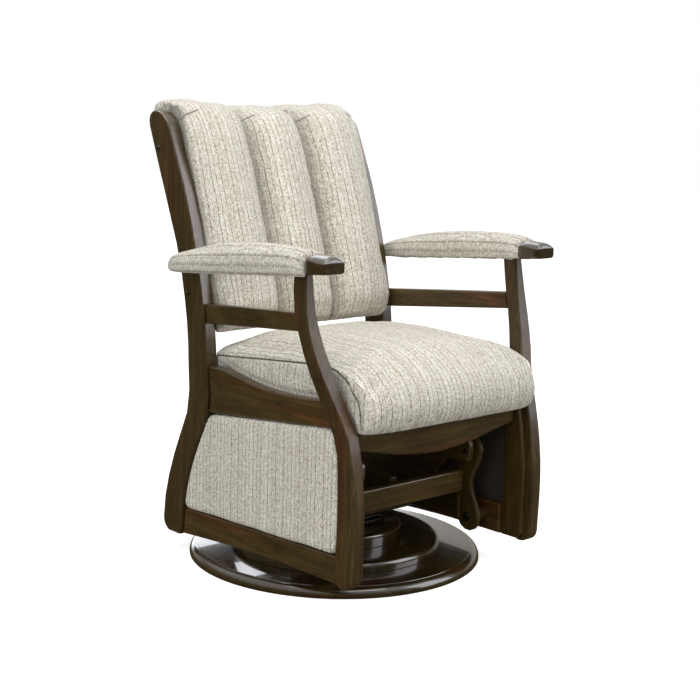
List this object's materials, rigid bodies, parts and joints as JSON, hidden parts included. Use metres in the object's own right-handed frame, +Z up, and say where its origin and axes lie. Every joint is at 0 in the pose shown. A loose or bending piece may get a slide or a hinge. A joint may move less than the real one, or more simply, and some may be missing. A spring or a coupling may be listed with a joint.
{
  "type": "swivel glider chair",
  "caption": "Padded armchair on a dark wooden frame that glides on swing links and turns on a round stepped base.",
  "frame": {"origin": "on the floor under the swivel's axis, at the middle of the base's underside", "axes": "+Z up along the swivel's axis, the chair faces -Y, the sitter's left is +X"},
  "size_m": [0.6886, 0.749, 0.9866],
  "materials": {
    "stained_wood": "dark walnut stain under semi-gloss lacquer",
    "woven_fabric": "slubby beige tweed weave",
    "zinc_steel": "zinc plated",
    "black_steel": "dark oxide, satin"
  },
  "bodies": {
    "base": {"base_platter": "stained_wood", "base_middle_disc": "stained_wood", "base_top_disc": "stained_wood", "swivel_lower_plate": "zinc_steel", "swivel_bearing_ring": "zinc_steel"},
    "cradle": {"swivel_upper_plate": "zinc_steel", "cradle_crossbar_front": "stained_wood", "cradle_crossbar_rear": "stained_wood", "cradle_spine": "stained_wood", "hanger_board_left": "stained_wood", "hanger_board_right": "stained_wood", "upper_pivot_bolt_front_left": "black_steel", "upper_pivot_bolt_front_right": "black_steel", "upper_pivot_bolt_rear_left": "black_steel", "upper_pivot_bolt_rear_right": "black_steel"},
    "front_swing": {"front_link_left": "stained_wood", "front_link_right": "stained_wood", "front_stretcher": "stained_wood"},
    "rear_swing": {"rear_link_left": "stained_wood", "rear_link_right": "stained_wood", "rear_stretcher": "stained_wood"},
    "chair": {"lower_pivot_bolt_front_left": "black_steel", "lower_pivot_bolt_front_right": "black_steel", "lower_pivot_bolt_rear_left": "black_steel", "lower_pivot_bolt_rear_right": "black_steel", "rear_post_left": "stained_wood", "rear_post_right": "stained_wood", "front_leg_left": "stained_wood", "front_leg_right": "stained_wood", "mid_rail_left": "stained_wood", "mid_rail_right": "stained_wood", "scoop_rail_left": "stained_wood", "scoop_rail_right": "stained_wood", "bottom_rail_left": "stained_wood", "bottom_rail_right": "stained_wood", "side_panel_left": "woven_fabric", "side_panel_right": "woven_fabric", "glide_rail_left": "stained_wood", "glide_rail_right": "stained_wood", "liner_stile_left": "stained_wood", "liner_stile_right": "stained_wood", "arm_board_left": "stained_wood", "arm_board_right": "stained_wood", "arm_pad_left": "woven_fabric", "arm_pad_right": "woven_fabric", "seat_apron": "stained_wood", "seat_rear_rail": "stained_wood", "lower_rear_rail": "stained_wood", "seat_deck": "stained_wood", "seat_cushion": "woven_fabric", "back_top_rail": "stained_wood", "back_bottom_rail": "stained_wood", "back_board": "stained_wood", "outside_back_panel": "woven_fabric", "back_cushion": "woven_fabric", "back_bolt_lower_left": "black_steel", "back_bolt_lower_right": "black_steel", "back_bolt_upper_left": "black_steel", "back_bolt_upper_right": "black_steel"}
  },
  "joints": [
    {"name": "swivel", "type": "hinge", "parent": "base", "child": "cradle", "pos_m": [0, 0, 0], "axis": [0, 0, 1], "continuous": true},
    {"name": "front_link_swing", "type": "hinge", "parent": "cradle", "child": "front_swing", "pos_m": [0, -0.244, 0.257], "axis": [1, 0, 0], "range_deg": [-14, 14]},
    {"name": "rear_link_swing", "type": "hinge", "parent": "cradle", "child": "rear_swing", "pos_m": [0, 0.16, 0.257], "axis": [1, 0, 0], "range_deg": [-14, 14]},
    {"name": "chair_hang", "type": "hinge", "parent": "front_swing", "child": "chair", "pos_m": [0, -0.244, 0.105], "axis": [1, 0, 0], "range_deg": [-14, 14]}
  ],
  "couplings": [
    {"joint": "rear_link_swing", "follows": "front_link_swing", "ratio": 1},
    {"joint": "chair_hang", "follows": "front_link_swing", "ratio": -1}
  ]
}
